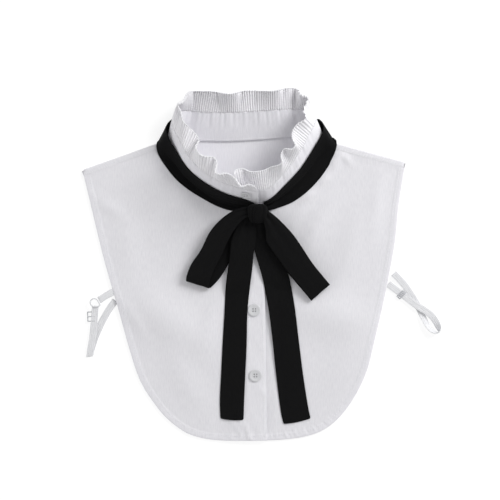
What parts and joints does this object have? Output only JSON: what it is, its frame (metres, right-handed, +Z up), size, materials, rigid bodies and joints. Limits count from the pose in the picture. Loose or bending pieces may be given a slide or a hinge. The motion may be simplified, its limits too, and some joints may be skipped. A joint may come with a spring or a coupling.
{
  "type": "detachable blouse collar with ruffle and ribbon bow",
  "caption": "Detachable cotton collar laid flat: buttoned fronts on a rounded back panel, stand collar with a finely pleated ruffle, black ribbon bow and elastic side straps.",
  "frame": {"origin": "on the flat underside of the back panel, near the middle of the garment", "axes": "+Z up from the surface that the collar lies on, +Y from the hem to the neck, +X to the right as seen from above"},
  "size_m": [0.3584, 0.3523, 0.0489],
  "materials": {
    "cotton": "matt white cotton poplin",
    "ribbon": "matt black woven ribbon",
    "button": "satin white resin",
    "elastic": "white woven elastic",
    "slider": "clear white nylon"
  },
  "bodies": {
    "root": {"back_panel": "cotton", "front_left": "cotton", "front_right": "cotton", "collar_band": "cotton", "collar_frill": "cotton", "neck_ribbon": "ribbon", "bow_loop_left": "ribbon", "bow_loop_right": "ribbon", "bow_tail_left": "ribbon", "bow_tail_right": "ribbon", "bow_knot": "ribbon", "button_1": "button", "button_2": "button", "button_3": "button", "button_collar": "button", "strap_left": "elastic", "strap_right": "elastic", "slider_left": "slider", "slider_right": "slider"}
  },
  "joints": []
}
